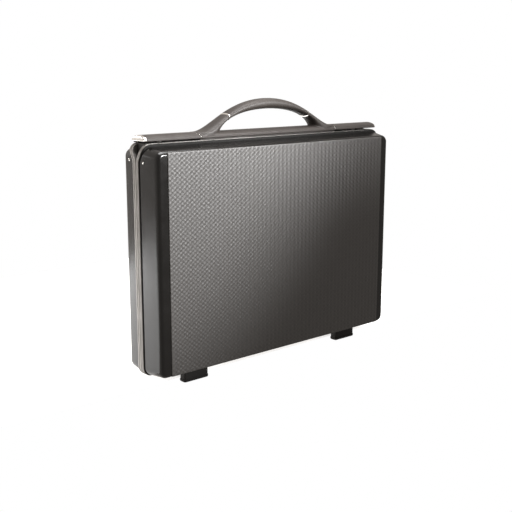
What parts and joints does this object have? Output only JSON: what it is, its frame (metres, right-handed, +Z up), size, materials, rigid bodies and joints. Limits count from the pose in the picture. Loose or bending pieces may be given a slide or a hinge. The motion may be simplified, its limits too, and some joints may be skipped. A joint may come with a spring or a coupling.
{
  "type": "attache case",
  "caption": "Hard-shell attache case with a lid on bottom hinges, a double metal frame, a fixed arch handle, flip-up latch covers and folding lid stays.",
  "frame": {"origin": "centre of the case's footprint, on the plane of the foot soles", "axes": "+X along the width, +Z up to the handle, -Y towards the lid and its raised panel"},
  "size_m": [0.4638, 0.0826, 0.3965],
  "materials": {
    "shell": "satin black moulded shell, woven grain on the raised panel",
    "frame": "satin anodised",
    "gasket": "matt black seal",
    "handle": "satin taupe moulding",
    "latch_cover": "satin taupe moulding",
    "chrome": "polished",
    "carrier": "matt black moulding",
    "foot": "matt black",
    "lining": "grey woven lining",
    "pocket": "black grained leather",
    "steel": "plated steel"
  },
  "bodies": {
    "case": {"body_shell": "shell", "body_frame": "frame", "body_lining": "lining", "top_carrier": "carrier", "handle_base": "handle", "handle_grip": "handle", "grip_ring_left": "chrome", "joint_trim_left": "chrome", "bar_end_cap_left": "chrome", "handle_screw_left": "steel", "latch_bed_left": "handle", "latch_pin_left": "steel", "latch_spring_left": "steel", "hinge_leaf_body_left": "steel", "hinge_pin_left": "steel", "body_foot_left": "foot", "body_stay_bracket_left": "steel", "body_rivet_left": "chrome", "grip_ring_right": "chrome", "joint_trim_right": "chrome", "bar_end_cap_right": "chrome", "handle_screw_right": "steel", "latch_bed_right": "handle", "latch_pin_right": "steel", "latch_spring_right": "steel", "hinge_leaf_body_right": "steel", "hinge_pin_right": "steel", "body_foot_right": "foot", "body_stay_bracket_right": "steel", "body_rivet_right": "chrome"},
    "lid": {"lid_shell": "shell", "lid_frame": "frame", "lid_gasket": "gasket", "lid_lining": "lining", "lid_pocket": "pocket", "hinge_leaf_lid_left": "steel", "lid_foot_left": "foot", "lid_stay_bracket_left": "steel", "lid_rivet_left": "chrome", "lid_keeper_left": "steel", "hinge_leaf_lid_right": "steel", "lid_foot_right": "foot", "lid_stay_bracket_right": "steel", "lid_rivet_right": "chrome", "lid_keeper_right": "steel"},
    "latch_left": {"latch_cover_left": "latch_cover", "latch_hook_left": "steel"},
    "body_stay_left": {"body_stay_arm_left": "steel"},
    "lid_stay_left": {"lid_stay_arm_left": "steel"},
    "latch_right": {"latch_cover_right": "latch_cover", "latch_hook_right": "steel"},
    "body_stay_right": {"body_stay_arm_right": "steel"},
    "lid_stay_right": {"lid_stay_arm_right": "steel"}
  },
  "joints": [
    {"name": "lid_hinge", "type": "hinge", "parent": "case", "child": "lid", "pos_m": [0, 0.0038, 0.0129], "axis": [1, 0, 0], "range_deg": [0, 90]},
    {"name": "latch_left_hinge", "type": "hinge", "parent": "case", "child": "latch_left", "pos_m": [-0.192, 0.0138, 0.3496], "axis": [-1, 0, 0], "range_deg": [0, 60]},
    {"name": "body_stay_left_hinge", "type": "hinge", "parent": "case", "child": "body_stay_left", "pos_m": [-0.2172, 0.02116, 0.11138], "axis": [1, 0, 0], "range_deg": [0, 90]},
    {"name": "lid_stay_left_hinge", "type": "hinge", "parent": "lid", "child": "lid_stay_left", "pos_m": [-0.2172, -0.01357, 0.11138], "axis": [1, 0, 0], "range_deg": [-90, 0]},
    {"name": "latch_right_hinge", "type": "hinge", "parent": "case", "child": "latch_right", "pos_m": [0.192, 0.0138, 0.3496], "axis": [-1, 0, 0], "range_deg": [0, 60]},
    {"name": "body_stay_right_hinge", "type": "hinge", "parent": "case", "child": "body_stay_right", "pos_m": [0.2172, 0.02116, 0.11138], "axis": [1, 0, 0], "range_deg": [0, 90]},
    {"name": "lid_stay_right_hinge", "type": "hinge", "parent": "lid", "child": "lid_stay_right", "pos_m": [0.2172, -0.01357, 0.11138], "axis": [1, 0, 0], "range_deg": [-90, 0]}
  ],
  "couplings": [
    {"joint": "body_stay_left_hinge", "follows": "lid_hinge", "ratio": 1},
    {"joint": "lid_stay_left_hinge", "follows": "lid_hinge", "ratio": -1},
    {"joint": "body_stay_right_hinge", "follows": "lid_hinge", "ratio": 1},
    {"joint": "lid_stay_right_hinge", "follows": "lid_hinge", "ratio": -1}
  ]
}
